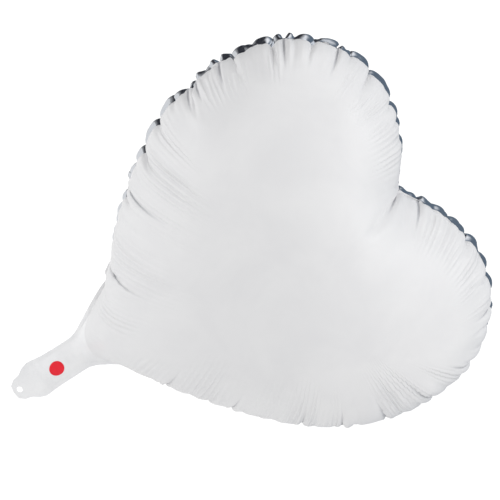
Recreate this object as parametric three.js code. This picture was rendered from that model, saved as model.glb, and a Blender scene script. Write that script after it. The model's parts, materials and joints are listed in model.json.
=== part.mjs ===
// Heart-shaped foil balloon, inflated: two films welded round their rim, a flat tail that holds a
// self-sealing valve, and a punched hanging tab at the end of the tail.
// Millimetres, +Z up. The white front film faces -Y and the silver back film faces +Y.
// The shapes are drawn in heart coordinates: x = 0 is the axis of symmetry, y = 0 the weld plane and
// z = 0 the fold where the tail leaves the heart. The last group moves the origin to the back patch.
import * as THREE from 'three';

// ---- Driving dimensions -------------------------------------------------------------------------
const HEART_WIDTH = 370;          // across the lobes, over the weld flange
const HEART_HEIGHT = 358;         // from the tail fold to the top of the lobes
const NOTCH_HEIGHT = 326;         // from the tail fold to the bottom of the notch
const LOBE_TOP_X = 94;            // from the axis to the top of each lobe
const SHOULDER_HEIGHT = 251;      // height at which the heart is widest
const DOME_DEPTH = 102;           // how far each film swells out of its flange
const DOME_CENTRE_HEIGHT = 215;   // height of the crown of both films
const PATCH_RADIUS = 14;          // flat crown, where an adhesive dot sits
const FLANGE_WIDTH = 5;           // flat welded rim

const FILM = 0.5;                 // wall of a foil film
const SEAL = 0.5;                 // thickness of the fused sealing layer
const GAP = 0.3;                  // clearance between pieces that touch
const FOLD_BOW = 1.2;             // how far each film bows out beside a living fold

const NECK_HALF_WIDTH = 24;       // the tail where it leaves the heart
const TAIL_HALF_WIDTH = 19;       // narrowest stretch of the tail
const TAIL_END_HALF_WIDTH = 18.5; // the tail at its fold with the tab
const TAIL_LENGTH = 59;           // from the tail fold to the tab fold
const TAIL_WELD = 5;              // width of the weld along each edge of the tail
const TAIL_BELLY = 3;             // how far each film bows out half-way along the tail

const TAB_LENGTH = 27;            // from the tab fold to the end of the tab
const TAB_HALF_WIDTH = 11.5;      // the tab beyond its shoulders
const TAB_SHOULDER = 9;           // length of the concave shoulders
const TAB_CORNER = 8;             // corner radius at the tab's end
const HOLE_RADIUS = 3;            // punched hanging hole
const HOLE_FROM_END = 7;          // from the tab's end to the hole's centre

const VALVE_FILM = 0.3;           // wall of a polyethylene valve film
const VALVE_SIDE_ROOM = 2.5;      // from each edge of the valve to the tail's weld, at the narrow end
const VALVE_WELD = 3;             // width of the valve's side welds
const VALVE_MOUTH = 8;            // from the tab fold to the valve's mouth
const VALVE_TONGUE = 56;          // length of the valve inside the heart
const DOT_RADIUS = 7.5;           // printed dot that marks the valve
const DOT_HEIGHT = -33;           // height of the dot's centre
const DOT_THICKNESS = 0.3;

// ---- Values worked out from them ----------------------------------------------------------------
const INNER_FACE = SEAL / 2 + GAP;             // y of a film's sealing face, in the flange
const OUTER_FACE = INNER_FACE + FILM;          // y of its outer face
const CROWN = OUTER_FACE + DOME_DEPTH;         // y of the crown
const FOLD_CLEARANCE = OUTER_FACE + FOLD_BOW + GAP; // from a fold to the films that turn about it
const HEART_BASE = FOLD_CLEARANCE;             // lowest edge of the heart's films
const TAIL_TOP = -FOLD_CLEARANCE;
const TAIL_BOTTOM = -TAIL_LENGTH + FOLD_CLEARANCE;
const TAB_TOP = -TAIL_LENGTH - FOLD_CLEARANCE;
const TAB_BOTTOM = -TAIL_LENGTH - TAB_LENGTH;
const NECK_CHANNEL = NECK_HALF_WIDTH - TAIL_WELD;
const VALVE_HALF_WIDTH = Math.min(TAIL_HALF_WIDTH, TAIL_END_HALF_WIDTH) - TAIL_WELD - VALVE_SIDE_ROOM;
const VALVE_INNER_FACE = VALVE_FILM / 2 + GAP; // y of a valve film's face towards its partner

const FLANK_POINTS = 18;          // outline steps along each flank
const SHOULDER_POINTS = 8;        // round each shoulder
const LOBE_POINTS = 10;           // over each lobe, down to the notch
const MOUTH_POINTS = 8;           // across the open neck
const RINGS = [0.25, 0.48, 0.68, 0.84, 0.94, 1]; // from the crown patch to the flange

// ---- Materials ----------------------------------------------------------------------------------
const finish = (color, roughness, metalness) =>
  new THREE.MeshStandardMaterial({ color, roughness, metalness });
const WHITE_FOIL = finish('#e9e9ee', 0.35, 0.1);
const SILVER_FOIL = finish('#b9bec6', 0.14, 1);
const SEALING_LAYER = finish('#dcdce2', 0.45, 0);
const CLEAR_FILM = finish('#e6ecef', 0.3, 0);
const RED_PRINT = finish('#d8122b', 0.4, 0);

// ---- Solids from rings and grids of points ------------------------------------------------------
function solid(points, faces, faceOut) {
  const geometry = new THREE.BufferGeometry();
  geometry.setAttribute('position', new THREE.Float32BufferAttribute(points.flat(), 3));
  geometry.setIndex(faces.flatMap(([a, b, c]) => (faceOut ? [a, b, c] : [a, c, b])));
  geometry.computeVertexNormals();
  return geometry;
}

// Rings of equal length, joined one to the next, with a point closing each end.
function closedByRings(first, rings, last, faceOut) {
  const count = rings[0].length;
  const points = [first, ...rings.flat(), last];
  const at = (ring, i) => 1 + ring * count + (i % count);
  const faces = [];
  for (let i = 0; i < count; i++) {
    faces.push([0, at(0, i), at(0, i + 1)]);
    faces.push([points.length - 1, at(rings.length - 1, i + 1), at(rings.length - 1, i)]);
    for (let ring = 1; ring < rings.length; ring++) {
      faces.push([at(ring - 1, i), at(ring, i), at(ring, i + 1)]);
      faces.push([at(ring - 1, i), at(ring, i + 1), at(ring - 1, i + 1)]);
    }
  }
  return solid(points, faces, faceOut);
}

// A strip that runs down in z between two edges, bounded in y by a near and a far face.
function strip({ top, bottom, left, right, near, far, across = 1, along = 1 }) {
  const points = [];
  for (const face of [near, far]) {
    for (let j = 0; j <= along; j++) {
      const z = top + ((bottom - top) * j) / along;
      for (let i = 0; i <= across; i++) {
        const x = left(z) + ((right(z) - left(z)) * i) / across;
        points.push([x, face(x, z), z]);
      }
    }
  }
  const row = across + 1;
  const layer = row * (along + 1);
  const at = (side, j, i) => side * layer + j * row + i;
  const faces = [];
  const quad = (a, b, c, d) => faces.push([a, b, c], [a, c, d]);
  for (let j = 0; j < along; j++) {
    for (let i = 0; i < across; i++) {
      quad(at(0, j, i), at(0, j + 1, i), at(0, j + 1, i + 1), at(0, j, i + 1));
      quad(at(1, j, i), at(1, j, i + 1), at(1, j + 1, i + 1), at(1, j + 1, i));
    }
    quad(at(0, j, 0), at(1, j, 0), at(1, j + 1, 0), at(0, j + 1, 0));
    quad(at(0, j, across), at(0, j + 1, across), at(1, j + 1, across), at(1, j, across));
  }
  for (let i = 0; i < across; i++) {
    quad(at(0, 0, i), at(0, 0, i + 1), at(1, 0, i + 1), at(1, 0, i));
    quad(at(0, along, i), at(1, along, i), at(1, along, i + 1), at(0, along, i + 1));
  }
  return solid(points, faces, true);
}

// ---- Heart outline ------------------------------------------------------------------------------
// Right half of the outer edge, from the neck up the flank, round the shoulder and into the notch.
function rightHalfOutline() {
  const half = HEART_WIDTH / 2;
  const v = (x, z) => new THREE.Vector2(x, z);
  const neck = v(NECK_HALF_WIDTH, HEART_BASE);
  const side = v(half, SHOULDER_HEIGHT);
  const lobe = v(LOBE_TOP_X, HEART_HEIGHT);
  const notch = v(0, NOTCH_HEIGHT);
  const flank = new THREE.CubicBezierCurve(
    neck, v(NECK_HALF_WIDTH + 0.12 * half, 0.19 * SHOULDER_HEIGHT),
    v(half, 0.55 * SHOULDER_HEIGHT), side);
  const shoulder = new THREE.CubicBezierCurve(
    side, v(half, side.y + 0.42 * (HEART_HEIGHT - side.y)), v(lobe.x + 0.45 * (half - lobe.x), lobe.y), lobe);
  const toNotch = new THREE.CubicBezierCurve(
    lobe, v(0.89 * lobe.x, lobe.y), v(0.26 * lobe.x, notch.y + 0.68 * (lobe.y - notch.y)), notch);
  return [
    ...flank.getSpacedPoints(FLANK_POINTS),
    ...shoulder.getSpacedPoints(SHOULDER_POINTS).slice(1),
    ...toNotch.getSpacedPoints(LOBE_POINTS).slice(1),
  ];
}

// Each outline point with the matching point on the inner edge of the flange.
function rightHalfRim() {
  const outline = rightHalfOutline();
  return outline.map((point, i) => {
    const before = outline[Math.max(i - 1, 0)];
    const after = outline[i + 1] ?? new THREE.Vector2(-before.x, before.y);
    const along = after.clone().sub(before).normalize();
    const inwards = new THREE.Vector2(-along.y, along.x).multiplyScalar(FLANGE_WIDTH);
    return { edge: point, dome: i === 0 ? neckCorner() : point.clone().add(inwards), bow: 0 };
  });
}

function neckCorner() {
  return new THREE.Vector2(NECK_CHANNEL, HEART_BASE + FILM);
}

// The whole rim, counter-clockwise seen from the front: across the neck, up the right, down the left.
function heartRim() {
  const right = rightHalfRim();
  const mirror = (p) => new THREE.Vector2(-p.x, p.y);
  const left = right.slice(0, -1).reverse();
  const mouth = [];
  for (let i = 1; i < MOUTH_POINTS; i++) {
    const share = (2 * i) / MOUTH_POINTS - 1;
    mouth.push({
      edge: new THREE.Vector2(share * NECK_HALF_WIDTH, HEART_BASE),
      dome: new THREE.Vector2(share * NECK_CHANNEL, HEART_BASE + FILM),
      bow: neckBow(share),
    });
  }
  return [...mouth, ...right, ...left.map((p) => ({ edge: mirror(p.edge), dome: mirror(p.dome), bow: 0 }))];
}

// A film's bow at the neck: greatest on the axis, nothing at the welds.
function neckBow(share) {
  return FOLD_BOW * (1 - share * share);
}

// ---- Heart films --------------------------------------------------------------------------------
// How full a film is between its crown (0) and its flange (1). It is blunt at the flanks and lobes
// and drawn out to a narrow spout towards the neck.
function fullness(share, direction) {
  const FLANK_POWER = 0.42;
  const SPOUT_POWER = 1;
  const SPOUT_SPREAD = 0.35;
  const fromNeck = Math.atan2(direction.x, -direction.y) / SPOUT_SPREAD;
  const power = FLANK_POWER + SPOUT_POWER * Math.exp(-fromNeck * fromNeck);
  return Math.pow(Math.max(1 - share * share, 0), power);
}

// One ring of a film's face, a given share of the way from the crown's patch to the flange.
function domeRing(rim, share, base, inset) {
  const centre = new THREE.Vector2(0, DOME_CENTRE_HEIGHT);
  return rim.map(({ dome, bow }) => {
    const out = dome.clone().sub(centre);
    const reach = out.length() - inset;
    const direction = out.normalize();
    const radius = PATCH_RADIUS + (reach - PATCH_RADIUS) * share;
    const point = centre.clone().addScaledVector(direction, radius);
    const depth = base + bow * share + DOME_DEPTH * fullness(share, direction);
    return [point.x, depth, point.y];
  });
}

// A film as one closed shell: outer face, flange edge, inner face. side is -1 front, +1 back.
function heartFilm(side) {
  const rim = heartRim();
  const edgeRing = (base) => rim.map(({ edge, bow }) => [edge.x, base + bow, edge.y]);
  const shares = [0, ...RINGS];
  const rings = [
    ...shares.map((share) => domeRing(rim, share, OUTER_FACE, 0)),
    edgeRing(OUTER_FACE),
    edgeRing(INNER_FACE),
    ...shares.toReversed().map((share) => domeRing(rim, share, INNER_FACE, share * FILM)),
  ];
  const placed = rings.map((ring) => ring.map(([x, y, z]) => [x, side * y, z]));
  const outerCrown = [0, side * CROWN, DOME_CENTRE_HEIGHT];
  const innerCrown = [0, side * (CROWN - FILM), DOME_CENTRE_HEIGHT];
  return closedByRings(outerCrown, placed, innerCrown, side < 0);
}

// The fused layer between the two flanges, open across the neck.
function rimWeld() {
  const right = rightHalfRim();
  const left = right.slice(0, -1).reverse();
  const outer = [...right.map((p) => p.edge), ...left.map((p) => new THREE.Vector2(-p.edge.x, p.edge.y))];
  const inner = [...right.map((p) => p.dome), ...left.map((p) => new THREE.Vector2(-p.dome.x, p.dome.y))];
  const band = new THREE.Shape([...outer, ...inner.reverse()]);
  return plate(band, SEAL, 0);
}

// A flat plate of the x-z plane, thickness along y about its middle plane.
function plate(shape, thickness, middle) {
  const geometry = new THREE.ExtrudeGeometry(shape, {
    depth: thickness, bevelEnabled: false, curveSegments: 8,
  });
  geometry.rotateX(Math.PI / 2);
  geometry.translate(0, middle + thickness / 2, 0);
  return geometry;
}

// ---- Tail ---------------------------------------------------------------------------------------
// Half width of the tail: wide at the neck, narrowest a third of the way down.
function tailHalfWidth(z) {
  const flare = Math.exp(z / (0.2 * TAIL_LENGTH));
  const towardsTab = TAIL_HALF_WIDTH + (TAIL_END_HALF_WIDTH - TAIL_HALF_WIDTH) * (-z / TAIL_LENGTH);
  return towardsTab + (NECK_HALF_WIDTH - TAIL_HALF_WIDTH) * flare;
}

const tailChannel = (z) => tailHalfWidth(z) - TAIL_WELD;

// How far a tail film bows away from the weld plane.
function tailBow(x, z) {
  const share = Math.min(Math.abs(x) / tailChannel(z), 1);
  const height = FOLD_BOW + (TAIL_BELLY - FOLD_BOW) * Math.sin((-Math.PI * z) / TAIL_LENGTH);
  return height * (1 - share * share);
}

function tailFilm(side) {
  const inner = (x, z) => side * (INNER_FACE + tailBow(x, z));
  const outer = (x, z) => side * (OUTER_FACE + tailBow(x, z));
  return strip({
    top: TAIL_TOP, bottom: TAIL_BOTTOM, across: 12, along: 8,
    left: (z) => -tailHalfWidth(z), right: tailHalfWidth,
    near: side < 0 ? outer : inner, far: side < 0 ? inner : outer,
  });
}

function tailWeld(side) {
  return strip({
    top: TAIL_TOP, bottom: TAIL_BOTTOM, along: 8,
    left: side < 0 ? (z) => -tailHalfWidth(z) : tailChannel,
    right: side < 0 ? (z) => -tailChannel(z) : tailHalfWidth,
    near: () => -SEAL / 2, far: () => SEAL / 2,
  });
}

// Red printed dot that lies on the front film of the tail and follows its bow.
function printedDot() {
  const face = (x, z) => -OUTER_FACE - tailBow(x, z) - GAP;
  const steps = 24;
  const rims = [0.5, 1];
  const ring = (radius, lift) => Array.from({ length: steps }, (_, i) => {
    const angle = (2 * Math.PI * i) / steps;
    const x = radius * Math.cos(angle);
    const z = DOT_HEIGHT + radius * Math.sin(angle);
    return [x, face(x, z) - lift, z];
  });
  const outer = rims.map((share) => ring(share * DOT_RADIUS, DOT_THICKNESS));
  const inner = rims.toReversed().map((share) => ring(share * DOT_RADIUS, 0));
  const middle = (lift) => [0, face(0, DOT_HEIGHT) - lift, DOT_HEIGHT];
  return closedByRings(middle(DOT_THICKNESS), [...outer, ...inner], middle(0), true);
}

// ---- Self-sealing valve -------------------------------------------------------------------------
// Two clear films welded along both sides. They lie flat together, and gas pressure shuts them.
function valveFilm(side, top, bottom) {
  const near = side < 0 ? -VALVE_INNER_FACE - VALVE_FILM : VALVE_INNER_FACE;
  return strip({
    top, bottom, left: () => -VALVE_HALF_WIDTH, right: () => VALVE_HALF_WIDTH,
    near: () => near, far: () => near + VALVE_FILM,
  });
}

function valveWeld(side, top, bottom) {
  const inside = VALVE_HALF_WIDTH - VALVE_WELD;
  return strip({
    top, bottom,
    left: () => (side < 0 ? -VALVE_HALF_WIDTH : inside),
    right: () => (side < 0 ? -inside : VALVE_HALF_WIDTH),
    near: () => -VALVE_FILM / 2, far: () => VALVE_FILM / 2,
  });
}

// ---- Tab ----------------------------------------------------------------------------------------
// Flat end of the tail: concave shoulders, round corners and a punched hole to hang it by.
function tabFilm(side) {
  const shoulder = TAB_TOP - TAB_SHOULDER;
  const shape = new THREE.Shape();
  shape.moveTo(-TAIL_END_HALF_WIDTH, TAB_TOP);
  shape.bezierCurveTo(-TAIL_END_HALF_WIDTH, TAB_TOP - TAB_SHOULDER / 2,
    -TAB_HALF_WIDTH, shoulder + TAB_SHOULDER / 2, -TAB_HALF_WIDTH, shoulder);
  shape.lineTo(-TAB_HALF_WIDTH, TAB_BOTTOM + TAB_CORNER);
  shape.absarc(-TAB_HALF_WIDTH + TAB_CORNER, TAB_BOTTOM + TAB_CORNER, TAB_CORNER, Math.PI, 1.5 * Math.PI);
  shape.absarc(TAB_HALF_WIDTH - TAB_CORNER, TAB_BOTTOM + TAB_CORNER, TAB_CORNER, -0.5 * Math.PI, 0);
  shape.lineTo(TAB_HALF_WIDTH, shoulder);
  shape.bezierCurveTo(TAB_HALF_WIDTH, shoulder + TAB_SHOULDER / 2,
    TAIL_END_HALF_WIDTH, TAB_TOP - TAB_SHOULDER / 2, TAIL_END_HALF_WIDTH, TAB_TOP);
  const hole = new THREE.Path();
  hole.absarc(0, TAB_BOTTOM + HOLE_FROM_END, HOLE_RADIUS, 0, 2 * Math.PI, true);
  shape.holes.push(hole);
  return plate(shape, FILM, side * (INNER_FACE + FILM / 2));
}

// ---- Assembly -----------------------------------------------------------------------------------
const balloon = new THREE.Group();

function add(name, geometry, material) {
  const mesh = new THREE.Mesh(geometry, material);
  mesh.name = name;
  balloon.add(mesh);
}

add('front_panel', heartFilm(-1), WHITE_FOIL);
add('back_panel', heartFilm(1), SILVER_FOIL);
add('rim_weld', rimWeld(), SEALING_LAYER);
add('tail_front_film', tailFilm(-1), WHITE_FOIL);
add('tail_back_film', tailFilm(1), WHITE_FOIL);
add('tab_front_film', tabFilm(-1), WHITE_FOIL);
add('tab_back_film', tabFilm(1), WHITE_FOIL);
add('printed_dot', printedDot(), RED_PRINT);

const tongueTop = HEART_BASE + VALVE_TONGUE;
const mouthHeight = -TAIL_LENGTH + VALVE_MOUTH;
for (const [word, side] of [['front', -1], ['back', 1]]) {
  add(`valve_${word}_film`, valveFilm(side, TAIL_TOP, mouthHeight), CLEAR_FILM);
  add(`valve_${word}_tongue`, valveFilm(side, tongueTop, HEART_BASE), CLEAR_FILM);
}
for (const [word, side] of [['left', -1], ['right', 1]]) {
  add(`tail_weld_${word}`, tailWeld(side), SEALING_LAYER);
  add(`valve_weld_${word}`, valveWeld(side, TAIL_TOP, mouthHeight), CLEAR_FILM);
  add(`tongue_weld_${word}`, valveWeld(side, tongueTop, HEART_BASE), CLEAR_FILM);
}

balloon.position.set(0, -CROWN, -DOME_CENTRE_HEIGHT);
const part = new THREE.Group();
part.add(balloon);

export default part;
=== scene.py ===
# %% [markdown]
# # A heart-shaped foil balloon
# A foil balloon is two sheets of metallised plastic film, cut to the same outline and heat-sealed
# round the rim. Film can't stretch, so the flat heart can only become round by gathering at its
# rim: that is where the pillows, tucks and fine ripples come from. Modelling those by hand is slow
# and looks wrong, so this lesson cuts the two flat sheets, seals them, and blows gas in.
# The first line loads the fixed frame: the CAD parts, their bodies and their joints.

# %% Load the fixed frame
import json
import math

import bpy
import numpy as np
from mathutils import Matrix, Vector
from mathutils.geometry import delaunay_2d_cdt


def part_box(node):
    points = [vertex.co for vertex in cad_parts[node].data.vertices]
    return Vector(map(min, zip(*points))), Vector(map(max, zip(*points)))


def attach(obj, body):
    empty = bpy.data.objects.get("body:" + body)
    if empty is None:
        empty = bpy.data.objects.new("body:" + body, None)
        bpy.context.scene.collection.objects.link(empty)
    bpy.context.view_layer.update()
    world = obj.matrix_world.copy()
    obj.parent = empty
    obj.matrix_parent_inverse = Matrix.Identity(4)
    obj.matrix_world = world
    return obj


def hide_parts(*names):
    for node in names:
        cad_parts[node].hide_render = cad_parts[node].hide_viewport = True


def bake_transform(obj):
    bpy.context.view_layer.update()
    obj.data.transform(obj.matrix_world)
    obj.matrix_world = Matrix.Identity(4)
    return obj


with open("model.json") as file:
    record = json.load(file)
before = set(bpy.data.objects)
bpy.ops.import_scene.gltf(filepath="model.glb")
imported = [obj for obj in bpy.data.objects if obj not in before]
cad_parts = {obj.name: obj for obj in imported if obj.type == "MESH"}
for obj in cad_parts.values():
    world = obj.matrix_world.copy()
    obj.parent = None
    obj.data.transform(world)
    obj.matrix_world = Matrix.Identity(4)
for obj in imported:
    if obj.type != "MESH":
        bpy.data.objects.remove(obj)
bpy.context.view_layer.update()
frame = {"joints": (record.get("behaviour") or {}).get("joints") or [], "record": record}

# %% [markdown]
# ## Where things are
# The frame gives every place in metres. The film is worked out in millimetres in "heart
# coordinates", like a cutting pattern: x across, z up from the fold where the tail leaves the
# heart, and y through the balloon, with the white front towards -y.

# %% Heart coordinates
MM = 0.001
JOINTS = {joint["name"]: joint for joint in frame["joints"]}
TAIL_FOLD = np.array(JOINTS["tail_fold"]["pos_m"])
TAB_FOLD = np.array(JOINTS["tab_fold"]["pos_m"])
OPENINGS = {o["name"]: np.array(o["box_m"]) for o in frame["record"]["physics"]["openings"]}


def to_heart(point):
    """A point of the frame, in millimetres from the tail fold."""
    return (np.array(point) - TAIL_FOLD) / MM


def to_frame(points):
    """Points in heart coordinates, in metres in the frame."""
    return np.asarray(points) * MM + TAIL_FOLD


TAB_FOLD_Z = to_heart(TAB_FOLD)[2]
TAB_END_Z = to_heart(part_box("tab_front_film")[0])[2]
HOLE_CENTRE = to_heart(OPENINGS["hanging_hole"].mean(axis=0))[[0, 2]]
TAIL_HALF = to_heart(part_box("tab_front_film")[1])[0]
print("tab fold", TAB_FOLD_Z.round(1), "tab end", TAB_END_Z.round(1))

# %% [markdown]
# ## The cutting pattern
# An 18 inch heart is 457 mm across when flat and shrinks to about 370 mm when full. The outline is
# drawn as Bezier curves for one half: round the tab, up the tail, out along the flank, over the
# lobe and down to the notch. The flat heart is taller and wider than the full one on purpose, since
# its rim draws in as the gas goes in.

# %% Cut outline
CUT_HALF_WIDTH = 228.0     # flat heart, half across
CUT_WIDEST_Z = 262.0
CUT_LOBE_X, CUT_LOBE_Z = 78.0, 419.5
CUT_NOTCH_Z = 405.5
NECK_HALF = 24.0           # the tail where it meets the heart
TAB_HALF = 11.5
TAIL_SEAL = 4.5            # width of the weld along the tail
RIM_SEAL = 2.0             # and round the heart, where it is trimmed close
HOLE_RADIUS = 3.0

# %% Drawing the outline
def bezier(a, b, c, d, steps):
    t = np.linspace(0, 1, steps + 1)[:, None]
    a, b, c, d = (np.array(p, float) for p in (a, b, c, d))
    return (1 - t) ** 3 * a + 3 * t * (1 - t) ** 2 * b + 3 * t * t * (1 - t) * c + t**3 * d


def half_outline():
    """Right half of the cut edge, from the tab's end to the notch."""
    end, fold, tail, w = TAB_END_Z, TAB_FOLD_Z, TAIL_HALF, CUT_HALF_WIDTH
    curves = [
        bezier((0, end), (6, end), (TAB_HALF, end + 1), (TAB_HALF, end + 8), 10),
        bezier((TAB_HALF, end + 8), (TAB_HALF, end + 17), (tail, fold - 9), (tail + 1, fold + 1),
               12),
        bezier((tail + 1, fold + 1), (tail + 1.5, fold + 12), (tail, -32), (tail, -22), 12),
        bezier((tail, -22), (tail, -10), (NECK_HALF - 4, -2), (NECK_HALF, 0), 10),
        bezier((NECK_HALF, 0), (NECK_HALF + 58, 31), (w, CUT_WIDEST_Z - 140), (w, CUT_WIDEST_Z),
               60),
        bezier((w, CUT_WIDEST_Z), (w, CUT_WIDEST_Z + 80), (CUT_LOBE_X + 100, CUT_LOBE_Z),
               (CUT_LOBE_X, CUT_LOBE_Z), 40),
        bezier((CUT_LOBE_X, CUT_LOBE_Z), (CUT_LOBE_X - 22, CUT_LOBE_Z), (25, CUT_NOTCH_Z + 10),
               (0, CUT_NOTCH_Z), 16),
    ]
    return np.vstack([curves[0]] + [curve[1:] for curve in curves[1:]])


def resample(line, step):
    length = np.r_[0, np.cumsum(np.linalg.norm(np.diff(line, axis=0), axis=1))]
    at = np.linspace(0, length[-1], max(3, round(length[-1] / step)) + 1)
    return np.stack([np.interp(at, length, line[:, k]) for k in (0, 1)], axis=1)


def both_halves(half):
    """A closed loop from a right half that starts and ends on the axis."""
    return np.vstack([half, (half * [-1, 1])[::-1][1:-1]])


half_cut = resample(half_outline(), 1.0)
cut_width, cut_height = 2 * half_cut[:, 0].max(), half_cut[:, 1].max()
print("flat heart", round(cut_width), "mm across,", round(cut_height), "mm tall")

# %% [markdown]
# ## Triangles for the sheets
# The sheets are filled with even triangles, because long thin ones would fold in false directions.
# The seal line runs a few millimetres inside the cut edge. Two straight lines across the tail mark
# where one piece of film will hand over to the next. Blender's own constrained Delaunay routine
# joins the edges, these lines, the punched hole and a lattice of points in between.

# %% Distances and the seal line
def distance_to(points, line):
    best = np.full(len(points), 1e9)
    for p, q in zip(line[:-1], line[1:]):
        v = q - p
        t = np.clip(((points - p) @ v) / (v @ v + 1e-12), 0, 1)
        best = np.minimum(best, np.linalg.norm(points - p - t[:, None] * v, axis=1))
    return best


def is_inside(points, loop):
    x, z = points[:, 0], points[:, 1]
    hit = np.zeros(len(points), bool)
    for (x0, z0), (x1, z1) in zip(loop, np.roll(loop, -1, axis=0)):
        if z0 != z1:
            hit ^= ((z0 > z) != (z1 > z)) & (x < (x1 - x0) * (z - z0) / (z1 - z0) + x0)
    return hit


def smoothstep(x, low, high):
    t = np.clip((x - low) / (high - low), 0, 1)
    return t * t * (3 - 2 * t)


def seal_line(half):
    """The cut edge moved inwards by the width of the weld, which narrows above the neck."""
    along = np.gradient(half, axis=0)
    along /= np.linalg.norm(along, axis=1)[:, None]
    width = TAIL_SEAL + (RIM_SEAL - TAIL_SEAL) * smoothstep(half[:, 1], 5, 45)
    moved = half + np.stack([-along[:, 1], along[:, 0]], axis=1) * width[:, None]
    moved = moved[(distance_to(moved, half) > width - 0.2) & (moved[:, 0] > 0)]
    return np.vstack([[0, moved[0, 1]], moved, [0, moved[-1, 1]]])


half_seal = seal_line(half_cut)

# %% Points of the flat mesh
HEART_END_Z = 13.0         # the heart's own film ends just above the fold
TAIL_END_Z = -38.0         # and the tail's hands over to the tab's, clear of both folds
HALF_SPAN = 40.0           # wider than the tail, so that a line crosses both edges
HOLE_COLLAR = 2.2          # ring of points round the hole


def circle(centre, radius, count):
    turn = np.linspace(0, 2 * math.pi, count, endpoint=False)
    return centre + radius * np.stack([np.cos(turn), np.sin(turn)], axis=1)


def lattice(step):
    rows = np.arange(TAB_END_Z, CUT_LOBE_Z, step * math.sqrt(3) / 2)
    columns = np.arange(-40, 41) * step
    return np.array([(x + step / 2 * (k % 2), z) for k, z in enumerate(rows) for x in columns])


def cross_line(z, step, seal):
    """Points on a straight line right across the sheet, evenly spaced inside the seal."""
    line = np.array([(x, z) for x in np.arange(-5, 6) * step])
    line = line[is_inside(line, seal)]
    line = line[distance_to(line, np.vstack([seal, seal[:1]])) > step * 0.4]
    return np.vstack([[-HALF_SPAN, z], line, [HALF_SPAN, z]])

# %% Flat mesh of both sheets
def flat_sheets(step):
    """Flat coordinates of all points, and the triangles of the front, the back and the weld."""
    cut = both_halves(resample(half_cut, step))
    seal = both_halves(resample(half_seal, step))
    cross = [cross_line(z, step, seal) for z in (HEART_END_Z, TAIL_END_Z)]
    hole = circle(HOLE_CENTRE, HOLE_RADIUS, 16)
    collar = circle(HOLE_CENTRE, HOLE_RADIUS + HOLE_COLLAR, 14)
    inner = lattice(step)
    inner = inner[is_inside(inner, seal)]
    inner = inner[distance_to(inner, np.vstack([seal, seal[:1]])) > step * 0.5]
    inner = inner[np.linalg.norm(inner - HOLE_CENTRE, axis=1) > HOLE_RADIUS + 4]
    for z in (HEART_END_Z, TAIL_END_Z):
        inner = inner[np.abs(inner[:, 1] - z) > step * 0.35]
    points = np.vstack([cut, seal, hole, collar, inner, *cross])
    starts = np.cumsum([0, len(cut), len(seal), len(hole)])
    edges = []
    for start, loop in zip(starts, (cut, seal, hole)):
        count = len(loop)
        edges += [(int(start + i), int(start + (i + 1) % count)) for i in range(count)]
    start = len(points) - sum(len(line) for line in cross)
    for line in cross:
        edges += [(start + i, start + i + 1) for i in range(len(line) - 1)]
        start += len(line)
    found = delaunay_2d_cdt([Vector(p) for p in points], edges, [], 1, 1e-6)
    verts = np.array([v[:] for v in found[0]])
    tris = np.array([t for t in found[2] if len(t) == 3])
    centre = verts[tris].mean(axis=1)
    off_hole = np.linalg.norm(centre - HOLE_CENTRE, axis=1) > HOLE_RADIUS * 0.97
    keep = is_inside(centre, cut) & off_hole
    u, v = verts[tris[:, 1]] - verts[tris[:, 0]], verts[tris[:, 2]] - verts[tris[:, 0]]
    area = u[:, 0] * v[:, 1] - u[:, 1] * v[:, 0]
    tris[area < 0] = tris[area < 0][:, ::-1]
    tris = tris[keep & (np.abs(area) > 1e-6)]
    in_seal = is_inside(verts[tris].mean(axis=1), seal)
    used = np.zeros(len(verts), bool)
    used[tris.ravel()] = True
    welded = np.zeros(len(verts), bool)
    welded[tris[~in_seal].ravel()] = True
    free = np.where(used & ~welded)[0]
    twin = np.arange(len(verts))
    twin[free] = len(verts) + np.arange(len(free))
    side = np.zeros(len(verts) + len(free))
    side[free], side[len(verts):] = -1, 1
    return {
        "flat": np.vstack([verts, verts[free]]),
        "side": side,
        "front": tris[in_seal],
        "back": twin[tris[in_seal]][:, ::-1],
        "weld": tris[~in_seal],
    }


GRID = 7.5                 # side of a triangle, in mm
film = flat_sheets(GRID)
print(len(film["flat"]), "points,", len(film["front"]) + len(film["back"]), "film triangles")

# %% [markdown]
# ## The shape of the tail
# Only the heart is under pressure. Below the fold the tail is nearly flat: two films welded along
# their edges that bow apart a little round the valve. It follows a formula, and the heart's film
# hangs on to it. The whole tail also sways, so that it isn't a ruler.

# %% Tail formula
TAIL_BELLY = 1.0           # how far the films bow apart, in mm
NECK_BELLY, NECK_FADE = 8.0, 16.0
VALVE_BELLY, VALVE_Z, VALVE_SPREAD = 2.6, -40, 14
SWAY, SWAY_LENGTH = 1.5, 21
CREASE, CREASE_Z, CREASE_SLANT, CREASE_WIDTH = 0.7, -51, 0.12, 2.2
LEAN = 0.098               # sideways shift of the tail for each mm down


def half_width_at(z):
    """Half width of the cut tail at height z."""
    order = half_cut[:, 1] < 2
    return np.interp(z, half_cut[order, 1], half_cut[order, 0])


def bump(x, centre, width):
    return np.exp(-(((x - centre) / width) ** 2))


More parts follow.
